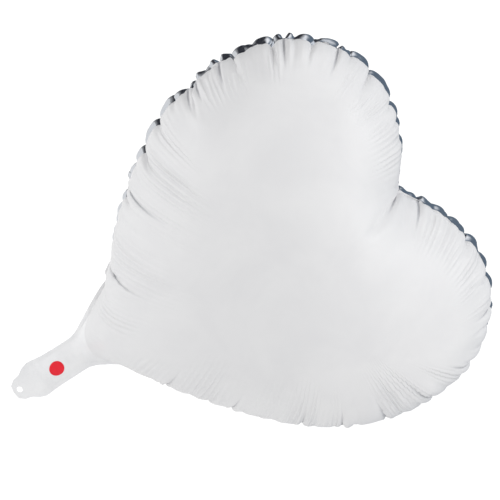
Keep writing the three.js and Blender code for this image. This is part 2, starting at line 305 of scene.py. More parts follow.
def tail_place(flat, side):
    """Where a point of the flat tail lies on the finished balloon."""
    x, z = flat[:, 0], flat[:, 1]
    channel = np.maximum(half_width_at(z) - TAIL_SEAL, 1.0)
    share = np.clip(np.abs(x) / channel, 0, 1)
    belly = TAIL_BELLY + NECK_BELLY * np.exp(np.minimum(z, 0) / NECK_FADE)
    belly = belly + VALVE_BELLY * bump(z, VALVE_Z, VALVE_SPREAD)
    belly = belly * np.clip((z - TAB_FOLD_Z + 6) / 12, 0.12, 1)
    depth = side * belly * (1 - share**2.2)
    across = x * (1 - 0.02 * belly)
    sway = SWAY * np.sin(z / SWAY_LENGTH)
    sway = sway + CREASE * bump(z, CREASE_Z + CREASE_SLANT * x, CREASE_WIDTH)
    lean = LEAN * np.clip(-z, 0, None)
    return np.stack([across + lean, depth + sway * np.clip(-z / 20, 0, 1), z], axis=1)

# %% [markdown]
# ## Blowing it up
# Blender's Cloth can inflate a sheet, but a foil that must not stretch by even one percent needs so
# many quality steps that it gets slow. Film is simpler than cloth, so the lesson writes the solver
# out: every edge of every triangle is a stick. Each small step pushes the points outwards with the
# gas, and then sets every stick back to its flat length. A stick that is too short is only pushed
# back weakly, since thin film wrinkles instead of resisting. Sticks that share no point are
# corrected together, in groups, which is what keeps it fast.

# %% Film solver
PRESSURE = 0.00025         # step of a point per area of film around it
BUCKLING = 0.25            # how much a short stick pushes back
DAMPING = 0.985
FASTEST = 3.0              # longest step of a point, in mm
NECK_PUSH, FULL_PUSH = 0.03, 90.0     # share of the pressure at the fold, and where it is all there
ROUNDS, MORE_ROUNDS = 700, 350


def stick_groups(flat, tris, draw):
    pairs = np.vstack([tris[:, [0, 1]], tris[:, [1, 2]], tris[:, [2, 0]]])
    pairs = np.unique(np.sort(pairs, axis=1), axis=0)
    length = np.linalg.norm(flat[pairs[:, 0]] - flat[pairs[:, 1]], axis=1)
    pairs, length = pairs[length > 1e-6], length[length > 1e-6]
    order = draw.permutation(len(pairs))
    pairs, length = pairs[order], length[order]
    taken = [0] * len(flat)
    group = np.zeros(len(pairs), int)
    for k, (i, j) in enumerate(pairs.tolist()):
        both, colour = taken[i] | taken[j], 0
        while both >> colour & 1:
            colour += 1
        group[k] = colour
        taken[i] |= 1 << colour
        taken[j] |= 1 << colour
    picks = [group == g for g in range(group.max() + 1)]
    return [(pairs[pick, 0], pairs[pick, 1], length[pick]) for pick in picks]

# %% Pressing and pulling
def inflate(film, place, steps, step_size, draw):
    flat, count = film["flat"], len(film["flat"])
    skin = np.vstack([film["front"], film["back"]])
    groups = stick_groups(flat, np.vstack([skin, film["weld"]]), draw)
    held = flat[:, 1] < 0.01
    anchor = place[held].copy()
    push = np.clip(NECK_PUSH + flat[:, 1] / FULL_PUSH, 0, 1)[:, None] * PRESSURE / step_size
    speed = np.zeros_like(place)
    for _ in range(steps):
        a, b, c = place[skin[:, 0]], place[skin[:, 1]], place[skin[:, 2]]
        area = np.cross(b - a, c - a)
        gas = np.zeros_like(place)
        for corner in range(3):
            for axis in range(3):
                gas[:, axis] += np.bincount(skin[:, corner], area[:, axis], count)
        speed = speed * DAMPING + gas * push
        before = place.copy()
        place = place + speed
        for i, j, length in groups:
            gap = place[i] - place[j]
            now = np.sqrt((gap * gap).sum(axis=1)) + 1e-9
            share = (now - length) / now * 0.5
            share = np.where(share < 0, share * BUCKLING, share)
            gap *= share[:, None]
            place[i] -= gap
            place[j] += gap
        place[held] = anchor
        speed = place - before
        fastest = np.sqrt((speed * speed).sum(axis=1)).max()
        if fastest > FASTEST:
            speed *= FASTEST / fastest
    return place

# %% First inflation
def starting_place(film, draw):
    """The flat sheets a hair apart, with the small unevenness that decides where it gathers."""
    flat, side = film["flat"], film["side"]
    place = np.stack([flat[:, 0], 0.4 * side, flat[:, 1]], axis=1)
    place += draw.normal(0, 0.25, place.shape)
    tail = flat[:, 1] < 0.01
    place[tail] = tail_place(flat[tail], side[tail])
    return place


draw = np.random.default_rng(3)
place = inflate(film, starting_place(film, draw), ROUNDS, GRID, draw)
size = np.ptp(place, axis=0)
print("full:", size.round(), "mm")

# %% [markdown]
# ## Finer film
# A first inflation on a coarse mesh finds the pillows quickly. Each triangle is then split in four
# by Loop's rule, which rounds the surface but keeps the weld line and the cut edge crisp, and the
# finer film is inflated a little longer so that the smaller folds form. A last split is only for
# smoothness.

# %% Loop subdivision
def refine(film, place):
    flat, side = film["flat"], film["side"]
    kinds = ("front", "back", "weld")
    tris = np.vstack([film[k] for k in kinds])
    sides = np.vstack([tris[:, [0, 1]], tris[:, [1, 2]], tris[:, [2, 0]]])
    opposite = np.concatenate([tris[:, 2], tris[:, 0], tris[:, 1]])
    pairs, which = np.unique(np.sort(sides, axis=1), axis=0, return_inverse=True)
    which = which.ravel()
    uses = np.bincount(which, minlength=len(pairs))
    facing = [np.bincount(which, place[opposite, k], len(pairs)) for k in range(3)]
    facing = np.stack(facing, axis=1)
    ends = place[pairs[:, 0]] + place[pairs[:, 1]]
    middle = np.where((uses == 2)[:, None], 0.375 * ends + 0.125 * facing, 0.5 * ends)
    count = len(flat)

    def spread(edge_list):
        total, number = np.zeros_like(place), np.zeros(count)
        for here, there in ((0, 1), (1, 0)):
            for k in range(3):
                total[:, k] += np.bincount(edge_list[:, here], place[edge_list[:, there], k], count)
            number += np.bincount(edge_list[:, here], minlength=count)
        return total, number

    around, valence = spread(pairs)
    on_line, line_valence = spread(pairs[uses != 2])
    weight = 0.375 / np.maximum(valence, 1)
    moved = place * (1 - valence * weight)[:, None] + around * weight[:, None]
    line = line_valence == 2
    moved[line] = 0.75 * place[line] + 0.125 * on_line[line]
    moved[line_valence > 2] = place[line_valence > 2]
    edge_side = side[pairs]
    new_side = np.where(edge_side[:, 0] != 0, edge_side[:, 0], edge_side[:, 1])
    new = {"flat": np.vstack([flat, (flat[pairs[:, 0]] + flat[pairs[:, 1]]) / 2])}
    new["side"] = np.concatenate([side, np.where(uses == 2, new_side, 0)])
    ab, bc, ca = (count + which[k * len(tris):(k + 1) * len(tris)] for k in range(3))
    a, b, c = tris.T
    quarters = np.stack([
        np.stack([a, ab, ca], axis=1), np.stack([b, bc, ab], axis=1),
        np.stack([c, ca, bc], axis=1), np.stack([ab, bc, ca], axis=1)], axis=1)
    start = 0
    for kind in kinds:
        stop = start + len(film[kind])
        new[kind] = quarters[start:stop].reshape(-1, 3)
        start = stop
    in_weld = np.zeros(len(new["flat"]), bool)
    in_weld[new["weld"].ravel()] = True
    new["side"][in_weld] = 0
    placed = np.vstack([moved, middle])
    tail = new["flat"][:, 1] < 0.01
    placed[tail] = tail_place(new["flat"][tail], new["side"][tail])
    return new, placed


film, place = refine(film, place)
place = inflate(film, place, MORE_ROUNDS, GRID / 2, draw)
film, place = refine(film, place)
print(len(place), "points after refining")

# %% [markdown]
# ## Gathers near the rim
# Close to the weld the film has more length than room, so besides the deep tucks it carries fine
# parallel ripples that run square to the rim and fade out towards the crown. Every point therefore
# gets two more coordinates: how far it is along the rim, and how far in from it. The wider ripples
# are real shape here. The finest are left to the material, which uses the same two coordinates.

# %% Rim coordinates and gathers
def rim_coordinates(flat):
    line = resample(half_seal, 6.0)
    at = np.abs(flat * [1, 0]) + flat * [0, 1]
    nearest, along, start = np.full(len(flat), 1e9), np.zeros(len(flat)), 0.0
    for p, q in zip(line[:-1], line[1:]):
        v = q - p
        t = np.clip(((at - p) @ v) / (v @ v), 0, 1)
        gap = np.linalg.norm(at - p - t[:, None] * v, axis=1)
        closer = gap < nearest
        nearest[closer] = gap[closer]
        along[closer] = start + t[closer] * np.linalg.norm(v)
        start += np.linalg.norm(v)
    return np.stack([along, nearest], axis=1)


def vertex_normals(place, tris):
    a, b, c = place[tris[:, 0]], place[tris[:, 1]], place[tris[:, 2]]
    face = np.cross(b - a, c - a)
    total = np.zeros_like(place)
    for corner in range(3):
        for axis in range(3):
            total[:, axis] += np.bincount(tris[:, corner], face[:, axis], len(place))
    return total / (np.linalg.norm(total, axis=1)[:, None] + 1e-12)


GATHER_PITCH = 9.0         # in mm
GATHER_HEIGHT = 0.22
x_cut, z_cut, sheet = film["flat"][:, 0], film["flat"][:, 1], film["side"]
rim = rim_coordinates(film["flat"])
along_rim, from_rim = rim[:, 0], rim[:, 1]
skin_normal = vertex_normals(place, np.vstack([film["front"], film["back"]]))
wander = 2.2 * np.sin(along_rim / 31 + sheet) + 1.4 * np.sin(along_rim / 17 + 2)
patches = 0.5 + 0.5 * np.sin(along_rim / 27 + 1.3 * sheet + 0.02 * x_cut)
band = smoothstep(from_rim, 6, 20) * (1 - smoothstep(from_rim, 30, 62))
band *= smoothstep(z_cut, 25, 60) * np.abs(sheet)
ripple = np.sin(2 * math.pi * along_rim / GATHER_PITCH + wander) * band * patches
place = place + skin_normal * (GATHER_HEIGHT * ripple)[:, None]
print("gathers up to", round(float(np.abs(ripple).max() * GATHER_HEIGHT), 2), "mm high")

# %% [markdown]
# ## Tucks and pillows
# At a few places all the spare length of the rim goes into one deep tuck that runs far into the
# heart, and one more always starts at the notch. Their places are given along the cut edge of each
# half. Between tucks the film swells in small pillows. The ink makes the front sheet stiffer, so
# the back takes up more of the spare length, and its pillows swell past the weld. The distance from
# a tuck keeps its sign, so that the material can press in a crisp groove with a line of painted
# shade where it passes through zero.

# %% Tucks
TUCKS = {
    -1: (186, 278, 405, 424, 453, 530, 590),
    1: (171, 246, 325, 372, 424, 478, 532, 601, 741),
}
TUCK_DEPTH, TUCK_WIDTH = 2.0, 2.4
TUCK_REACH = 56.0
FLANK_REACH = 2.0          # on the long flanks, tucks and gathers run this much further in
FLANK_END = {-1: 330, 1: 480}         # where that begins to fade, along the rim of each half
NOTCH_TUCK_HALF = 12       # the tuck at the notch claims this much of the heart's middle
FAR = 99.0                 # farther than any tuck reaches


def tuck_offset(flat, rim):
    """Signed distance from the nearest tuck, in mm: along the rim, or across the heart's middle."""
    near_notch = flat[:, 1] > CUT_NOTCH_Z - TUCK_REACH - 20
    near_notch &= np.abs(flat[:, 0]) < NOTCH_TUCK_HALF
    gap = np.where(near_notch, flat[:, 0], FAR)
    for side, places in TUCKS.items():
        here = flat[:, 0] * side >= 0
        for at in places:
            this = rim[:, 0] - at
            gap = np.where(here & (np.abs(this) < np.abs(gap)), this, gap)
    return gap


flank_end = np.where(x_cut > 0, FLANK_END[1], FLANK_END[-1])
flank = smoothstep(np.abs(x_cut), 0, 30) * (1 - smoothstep(along_rim - flank_end, 0, 90))
inward = from_rim / (1 + (FLANK_REACH - 1) * flank)
offset = tuck_offset(film["flat"], rim)
tuck_gap = np.abs(offset)
groove = np.exp(-((tuck_gap / TUCK_WIDTH) ** 1.4)) - 0.35 * bump(tuck_gap, 5.5, 3)
groove *= (1 - smoothstep(inward, 8, TUCK_REACH)) * np.abs(sheet) * smoothstep(from_rim, 0, 6)
groove *= 1 + 0.5 * smoothstep(along_rim, 752, 758)
place = place - skin_normal * (TUCK_DEPTH * groove)[:, None]
print(sum(len(places) for places in TUCKS.values()) + 1, "tucks", TUCK_DEPTH, "mm deep")

# %% Pillows
PILLOW_PITCH = {-1: 30.0, 1: 22.0}    # along the flat rim, in mm
BACK_SWELL, FRONT_SWELL = 3.6, 1.7
NOTCH_SWELL = 0.8                     # by the notch the pillows run together
pitch = np.where(x_cut > 0, PILLOW_PITCH[1], PILLOW_PITCH[-1])
drifting = along_rim / pitch + 0.35 * np.sin(along_rim / 41) + 0.25 * np.sign(x_cut)
pillow = np.abs(np.sin(math.pi * drifting)) ** 0.55 * smoothstep(from_rim, 0, 8)
pillow *= smoothstep(z_cut, 30, 90) * smoothstep(tuck_gap, 0, 4)
joined = NOTCH_SWELL * smoothstep(along_rim, 715, 735) * smoothstep(from_rim, 0, 8)
pillow = np.maximum(pillow, joined)
back_band = (1 - smoothstep(from_rim, 12, 34)) * (sheet > 0) * BACK_SWELL
back_band *= 1 + 0.5 * smoothstep(x_cut, 0, 40) * bump(along_rim, 600, 90)
back_band *= 1 + 0.6 * smoothstep(-x_cut, 0, 40) * bump(along_rim, 400, 230)
front_band = (1 - smoothstep(inward, 20, 46)) * (sheet < 0) * FRONT_SWELL
place = place + skin_normal * (pillow * (back_band + front_band))[:, None]
print("pillows up to", round(float((pillow * back_band).max()), 1), "mm")

# %% [markdown]
# The heart's pressed-out film has to run into the flat tail without a step. A funnel-shaped neck
# does that: the film on both sides of the fold is relaxed towards its neighbours many times, most
# at the fold and not at all on the weld.

# %% Easing the neck
NECK_EASE = 160            # rounds of relaxing
NECK_PULL = 0.9            # how far a point goes towards the middle of its neighbours


def eased(place):
    share = smoothstep(z_cut, -26, -6) * (1 - smoothstep(z_cut, 22, 62))
    share = share * np.abs(sheet) * NECK_PULL
    skin = np.vstack([film["front"], film["back"]])
    near = skin[(share[skin] > 0).any(axis=1)]
    used, local = np.unique(near, return_inverse=True)
    local = local.reshape(near.shape)
    ends = np.vstack([local[:, [0, 1]], local[:, [1, 2]], local[:, [2, 0]]])
    at, pull, count = place[used], share[used][:, None], len(used)
    number = np.bincount(ends.ravel(), minlength=count)[:, None]
    for _ in range(NECK_EASE):
        total = [np.bincount(ends[:, 0], at[ends[:, 1], k], count)
                 + np.bincount(ends[:, 1], at[ends[:, 0], k], count) for k in range(3)]
        at = at + (np.stack(total, axis=1) / number - at) * pull
    place = place.copy()
    place[used] = at
    return place


place = eased(place)

# %% [markdown]
# A real balloon is never quite symmetrical: one lobe is fuller, and one flank hangs flatter. A
# small smooth shift of a few millimetres gives this one its own stance. It fades out at the tail.

# %% Settling
ACROSS = (-7.07, 11.25, -5.39, 7.21, -3.4)    # mm for x, xz, z squared, x squared and xz squared
UPWARD = (9.07, -3.51, 6.25)                   # mm for xz, x squared and z cubed


def settled(place):
    x, z = place[:, 0] / 185, (place[:, 2] - 175) / 180
    a, b, c, d, e = ACROSS
    across = a * x + b * x * z + c * (z**2 - 0.4) + d * (x**2 - 0.4) + e * x * z**2
    a, b, c = UPWARD
    upward = a * x * z + b * (x**2 - 0.4) + c * z**3
    share = np.clip(place[:, 2] / 40, 0, 1)
    return place + np.stack([across * share, 0 * share, upward * share], axis=1)


place = settled(place)

# %% [markdown]
# ## From numbers to pieces
# A balloon maker's two sheets become six pieces: front and back, each in a length for the heart,
# the tail and the tab. They meet point for point on the two lines across the tail, and take their
# shading normals from the whole sheet, so that no join shows. Every piece is a thin closed solid,
# as real film is, and the weld is a third layer between them.

# %% Making a mesh
FILM_LIFT = 0.22           # middle of the sheets to the outside of the film, in mm
FILM_THICKNESS = 0.12
WELD_HALF = 0.08


def part_of(tris, low, high):
    z = film["flat"][tris, 1].mean(axis=1)
    return tris[(z > low) & (z < high)]


def boundary_edges(tris):
    sides = np.vstack([tris[:, [0, 1]], tris[:, [1, 2]], tris[:, [2, 0]]])
    _, first, uses = np.unique(np.sort(sides, axis=1), axis=0, return_index=True,
                               return_counts=True)
    return sides[first[uses == 1]]


def shell(name, points, tris, normals, outer, inner, maps):
    """A closed thin solid: the sheet moved outwards, the sheet moved inwards, and its edge."""
    used, local = np.unique(tris, return_inverse=True)
    local = local.reshape(tris.shape)
    count = len(used)
    rim_edges = boundary_edges(local)
    walls = np.vstack([
        np.stack([rim_edges[:, 1], rim_edges[:, 0], rim_edges[:, 0] + count], axis=1),
        np.stack([rim_edges[:, 1], rim_edges[:, 0] + count, rim_edges[:, 1] + count], axis=1)])
    faces = np.vstack([local, local[:, ::-1] + count, walls])
    at, out = points[used], normals[used]
    both = np.vstack([at + out * outer, at + out * inner])
    mesh = bpy.data.meshes.new(name)
    mesh.from_pydata(to_frame(both).tolist(), [], faces.tolist())
    for map_name, values in maps.items():
        layer = mesh.uv_layers.new(name=map_name)
        spread = values[used][faces.ravel() % count] * MM
        layer.data.foreach_set("uv", spread.astype(np.float32).ravel())
    mesh.polygons.foreach_set("use_smooth", np.ones(len(faces), bool))
    mesh.normals_split_custom_set_from_vertices(np.vstack([out, -out]).tolist())
    piece = bpy.data.objects.new(name, mesh)
    bpy.context.scene.collection.objects.link(piece)
    print(name, len(faces), "faces")
    return piece

# %% Six lengths of film and three of weld
MAPS = {                   # places on the cut, by the rim, and by the nearest tuck
    "cut": film["flat"],
    "rim": np.stack([rim[:, 0], inward], axis=1),
    "tuck": np.stack([offset, tuck_gap], axis=1),
}
LENGTHS = {
    "heart": (HEART_END_Z, math.inf),
    "tail": (TAIL_END_Z, HEART_END_Z),
    "tab": (-math.inf, TAIL_END_Z),
}
sheets = {
    "front": np.vstack([film["front"], film["weld"]]),
    "back": np.vstack([film["back"], film["weld"][:, ::-1]]),
}
pieces = {}
for side_name, tris in sheets.items():
    normals = vertex_normals(place, tris)
    for part, (low, high) in LENGTHS.items():
        name = f"{part}_film_{side_name}"
        pieces[part, side_name] = shell(name, place, part_of(tris, low, high), normals,
                                        FILM_LIFT, FILM_LIFT - FILM_THICKNESS, MAPS)
weld_normals = vertex_normals(place, film["weld"])
for part, (low, high) in LENGTHS.items():
    pieces[part, "weld"] = shell(f"{part}_weld", place, part_of(film["weld"], low, high),
                                 weld_normals, WELD_HALF, -WELD_HALF, MAPS)

# %% [markdown]
# ## The valve
# A self-sealing valve is a flat sleeve of clear film: two strips, welded along both edges, that
# start in the tail and hang into the heart as a tongue. Gas goes in through it, and the pressure
# then presses it shut. Here it is hidden by the milky tail, and it bends with the tail.

# %% Valve sleeve
VALVE_HALF = 11.0
VALVE_WELD = 3.0
VALVE_GAP = 0.22           # between the two strips, in the middle
VALVE_CURL = 1.2           # of the tongue
VALVE_MOUTH_Z = to_heart(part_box("valve_front_film")[0])[2]
VALVE_TONGUE_Z = to_heart(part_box("valve_front_tongue")[1])[2]


def strip(columns, rows):
    """Flat points and triangles of a grid of columns by rows."""
    x, z = np.meshgrid(columns, rows)
    flat = np.stack([x.ravel(), z.ravel()], axis=1)
    n = len(columns)
    corner = np.array([r * n + c for r in range(len(rows) - 1) for c in range(n - 1)])
    tris = np.vstack([np.stack([corner, corner + 1, corner + n + 1], axis=1),
                      np.stack([corner, corner + n + 1, corner + n], axis=1)])
    return flat, tris


def valve_place(flat, side):
    """The sleeve follows the middle of the tail, and hangs straight down inside the heart."""
    x, z = flat[:, 0], flat[:, 1]
    middle = tail_place(np.stack([x, np.minimum(z, 0)], axis=1), np.zeros(len(x)))
    share = np.clip(np.abs(x) / (VALVE_HALF - VALVE_WELD), 0, 1)
    open_by = side * VALVE_GAP * (1 - share**2) * (1 + 0.6 * np.sin(z / 9))
    curl = VALVE_CURL * np.sin(np.clip(z, 0, None) / 14) * smoothstep(z, 4, 40)
    return np.stack([middle[:, 0], middle[:, 1] + open_by + curl, z], axis=1)


def valve_piece(name, columns, side, outer, inner):
    rows = np.arange(VALVE_MOUTH_Z, VALVE_TONGUE_Z + 0.01, 1.5)
    flat, tris = strip(columns, rows)
    points = valve_place(flat, side)
    rim_place = rim_coordinates(flat)
    maps = {"cut": flat, "rim": rim_place, "tuck": rim_place + FAR}
    return shell(name, points, tris, vertex_normals(points, tris), outer, inner, maps)


wide = np.linspace(-VALVE_HALF, VALVE_HALF, 15)
edge = np.linspace(VALVE_HALF - VALVE_WELD, VALVE_HALF, 4)
pieces["valve", "front"] = valve_piece("valve_sleeve_front", wide, -1, 0.14, 0.06)
pieces["valve", "back"] = valve_piece("valve_sleeve_back", wide, 1, -0.06, -0.14)
pieces["valve", "left"] = valve_piece("valve_seam_left", -edge[::-1], 0, 0.04, -0.04)
pieces["valve", "right"] = valve_piece("valve_seam_right", edge, 0, 0.04, -0.04)

# %% [markdown]
# ## The printed dot
# A round spot of red ink marks where to blow. Ink has no thickness worth the name, so the dot is a
# film-thin disc that lies on the tail's own surface.

# %% Printed dot
dot_low, dot_high = (to_heart(corner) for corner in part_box("printed_dot"))
DOT_CENTRE = (dot_low + dot_high)[[0, 2]] / 2
DOT_RADIUS = (dot_high - dot_low)[0] / 2
DOT_LIFT, DOT_THICKNESS = 0.2, 0.08


def disc(centre, radius, rings, sectors):
    flat = [centre]
    for k in range(1, rings + 1):
        flat.extend(circle(centre, radius * k / rings, sectors))
    tris = [(0, 1 + s, 1 + (s + 1) % sectors) for s in range(sectors)]
    for k in range(rings - 1):
        for s in range(sectors):
            a, b = 1 + k * sectors + s, 1 + k * sectors + (s + 1) % sectors
            tris += [(a, a + sectors, b + sectors), (a, b + sectors, b)]
    return np.array(flat), np.array(tris)


dot_flat, dot_tris = disc(DOT_CENTRE, DOT_RADIUS, 8, 48)
dot_points = tail_place(dot_flat, -np.ones(len(dot_flat)))
dot_rim = rim_coordinates(dot_flat)
dot_normals = vertex_normals(dot_points, dot_tris)
dot_top = FILM_LIFT + DOT_LIFT
pieces["dot", "front"] = shell("red_dot", dot_points, dot_tris, dot_normals, dot_top,
                               dot_top - DOT_THICKNESS,
                               {"cut": dot_flat, "rim": dot_rim, "tuck": dot_rim + FAR})

# %% [markdown]
# ## Following the bodies
# The heart is one body, the tail folds where it leaves the heart, and the tab folds off the tail.
# The heart's pieces follow the heart body and the printed dot follows the tail body. The tail, tab
# and valve pieces are baked where they lie and follow no body.


for (part, where), piece in pieces.items():
    if part == "heart":
        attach(piece, "heart")
    elif part in ("tail", "valve"):
        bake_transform(piece)
    elif part == "tab":
        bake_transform(piece)
    else:
        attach(piece, "tail")

STANDS_FOR = {
    ("heart", "front"): ["front_panel"],
    ("heart", "back"): ["back_panel"],
    ("heart", "weld"): ["rim_weld"],
    ("tail", "front"): ["tail_front_film"],
    ("tail", "back"): ["tail_back_film"],
    ("tail", "weld"): ["tail_weld_left", "tail_weld_right"],
    ("tab", "front"): ["tab_front_film"],
    ("tab", "back"): ["tab_back_film"],
    ("valve", "front"): ["valve_front_tongue", "valve_front_film"],
    ("valve", "back"): ["valve_back_tongue", "valve_back_film"],
    ("valve", "left"): ["tongue_weld_left", "valve_weld_left"],
    ("valve", "right"): ["tongue_weld_right", "valve_weld_right"],
    ("dot", "front"): ["printed_dot"],
}
for key, nodes in STANDS_FOR.items():
    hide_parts(*nodes)
print(len(pieces), "pieces")

# %% [markdown]
# ## Shader groups that several finishes share
# Three effects turn up on more than one film, so each is a node group with named sockets: the fine
# gathers by the rim, the slight crinkle and grain that any thin film has, and a trace of dust. A
# group only puts out heights and masks. Each material decides what to do with them.

# %% Node helpers
def add(tree, kind, settings=None, **inputs):
    """A node with its settings, its plain values and its links in one go."""
    made = tree.nodes.new(kind)
    for name, value in (settings or {}).items():
        setattr(made, name, value)
    for name, value in inputs.items():
        key = int(name[1:]) if name[1:].isdigit() else name.replace("_", " ")
        if isinstance(value, bpy.types.NodeSocket):
            tree.links.new(value, made.inputs[key])
        else:
            made.inputs[key].default_value = value
    return made


def calc(tree, operation, a, b=0.0):
    return add(tree, "ShaderNodeMath", {"operation": operation}, _0=a, _1=b).outputs[0]


def ramp(tree, value, low, high, to_low=0.0, to_high=1.0):
    made = add(tree, "ShaderNodeMapRange", {"interpolation_type": "SMOOTHSTEP"}, Value=value)
    limits = {"From Min": low, "From Max": high, "To Min": to_low, "To Max": to_high}
    for name, number in limits.items():
        made.inputs[name].default_value = number
    return made.outputs["Result"]


def noise(tree, vector, scale, detail=2.0, roughness=0.5, distortion=0.0):
    made = add(tree, "ShaderNodeTexNoise", Vector=vector, Scale=scale, Detail=detail,
               Roughness=roughness, Distortion=distortion)
    return made.outputs["Fac"]


def new_group(name, inputs, outputs):
    tree = bpy.data.node_groups.new(name, "ShaderNodeTree")
    for label, kind in inputs:
        tree.interface.new_socket(label, in_out="INPUT", socket_type=kind)
    for label, kind in outputs:
        tree.interface.new_socket(label, in_out="OUTPUT", socket_type=kind)
    return tree, tree.nodes.new("NodeGroupInput"), tree.nodes.new("NodeGroupOutput")


FLOAT, VECTOR = "NodeSocketFloat", "NodeSocketVector"

# %% Group: gathers square to the rim
gathers, given, result = new_group(
    "rim_gathers", [("Rim", VECTOR), ("Tuck", VECTOR), ("Pitch", FLOAT), ("Reach", FLOAT)],
    [("Height", FLOAT), ("Crease", FLOAT)])
split = add(gathers, "ShaderNodeSeparateXYZ", _0=given.outputs["Rim"])
along, inward = split.outputs[0], split.outputs[1]
less_inward = calc(gathers, "MULTIPLY", inward, 0.25)
squeezed = add(gathers, "ShaderNodeCombineXYZ", _0=along, _1=less_inward)
drift = calc(gathers, "MULTIPLY", noise(gathers, squeezed.outputs[0], 55.0), 9.0)
turns = calc(gathers, "DIVIDE", along, given.outputs["Pitch"])
phase = calc(gathers, "ADD", calc(gathers, "MULTIPLY", turns, 2 * math.pi), drift)
wave = calc(gathers, "SINE", phase)
reach = calc(gathers, "DIVIDE", inward, given.outputs["Reach"])
starting = ramp(gathers, reach, 0.06, 0.3)
ending = ramp(gathers, reach, 0.5, 1.0, 1.0, 0.0)
fade = calc(gathers, "MULTIPLY", starting, ending)
here = ramp(gathers, noise(gathers, squeezed.outputs[0], 26.0, 1.0), 0.4, 0.62)
mask = calc(gathers, "MULTIPLY", fade, here)
tuck = add(gathers, "ShaderNodeSeparateXYZ", _0=given.outputs["Tuck"])
thin = ramp(gathers, calc(gathers, "ABSOLUTE", tuck.outputs[0]), 0.0003, 0.0017, 1.0, 0.0)
close = ramp(gathers, tuck.outputs[1], 0.003, 0.006, 1.0, 0.0)
thin = calc(gathers, "MULTIPLY", thin, close)
# Crease: mask of the crisp tuck line, used for the pressed groove and by the materials for painted
# shade
sharp = calc(gathers, "MULTIPLY", thin, ramp(gathers, inward, 0.014, 0.050, 1.0, 0.0))
gathers.links.new(sharp, result.inputs["Crease"])
pressed = calc(gathers, "MULTIPLY", sharp, 2.2)
rippled = calc(gathers, "MULTIPLY", wave, mask)
gathers.links.new(calc(gathers, "SUBTRACT", rippled, pressed), result.inputs["Height"])

# %% Group: crinkle and grain of thin film
crinkle, given, result = new_group(
    "film_crinkle", [("Vector", VECTOR), ("Scale", FLOAT)], [("Height", FLOAT), ("Grain", FLOAT)])
scaled = add(crinkle, "ShaderNodeVectorMath", {"operation": "SCALE"}, _0=given.outputs["Vector"],
             Scale=given.outputs["Scale"]).outputs[0]
soft = noise(crinkle, scaled, 14.0, 3.0, 0.55, 0.6)
centred = calc(crinkle, "SUBTRACT", noise(crinkle, scaled, 38.0, 2.0, 0.5, 1.2), 0.5)
ridged = calc(crinkle, "ABSOLUTE", centred)
folded = calc(crinkle, "MULTIPLY", calc(crinkle, "SUBTRACT", 0.5, ridged), 0.3)
crinkle.links.new(calc(crinkle, "ADD", soft, folded), result.inputs["Height"])
crinkle.links.new(noise(crinkle, scaled, 900.0, 3.0, 0.6), result.inputs["Grain"])

# %% Group: dust
dust, given, result = new_group(
    "light_dust", [("Vector", VECTOR), ("Amount", FLOAT)], [("Mask", FLOAT)])
cloud = ramp(dust, noise(dust, given.outputs["Vector"], 22.0, 4.0, 0.6), 0.5, 0.8)
specks = ramp(dust, noise(dust, given.outputs["Vector"], 420.0, 1.0), 0.66, 0.74)
both = calc(dust, "MAXIMUM", calc(dust, "MULTIPLY", cloud, 0.35), specks)
dust.links.new(calc(dust, "MULTIPLY", both, given.outputs["Amount"]), result.inputs["Mask"])

# %% [markdown]
# ## Finishes
# The front is white ink on metallised film: satin, pearly, and a little metallic. The back is the
# bare metal layer, a soft mirror whose look is mostly what it reflects. The tail is the same film
# without metal, so it is milky and paler. Each finish is one Principled shader, and the groups
# vary its colour, roughness and surface.

# %% Building one finish
FINE_PITCH, FINE_REACH = 0.0062, 0.072    # of the finest gathers, in metres
# Painted shade along the crisp tuck lines: the grey the colour is darkened towards, and how far
CREASE_SHADE_GREY = (0.42, 0.43, 0.46)
CREASE_SHADE_SHARE = 0.85


def mixed(tree, factor, low, high):
    made = add(tree, "ShaderNodeMix", {"data_type": "RGBA"}, Factor=factor)
    made.inputs[6].default_value = (*low, 1)
    made.inputs[7].default_value = (*high, 1)
    return made.outputs[2]


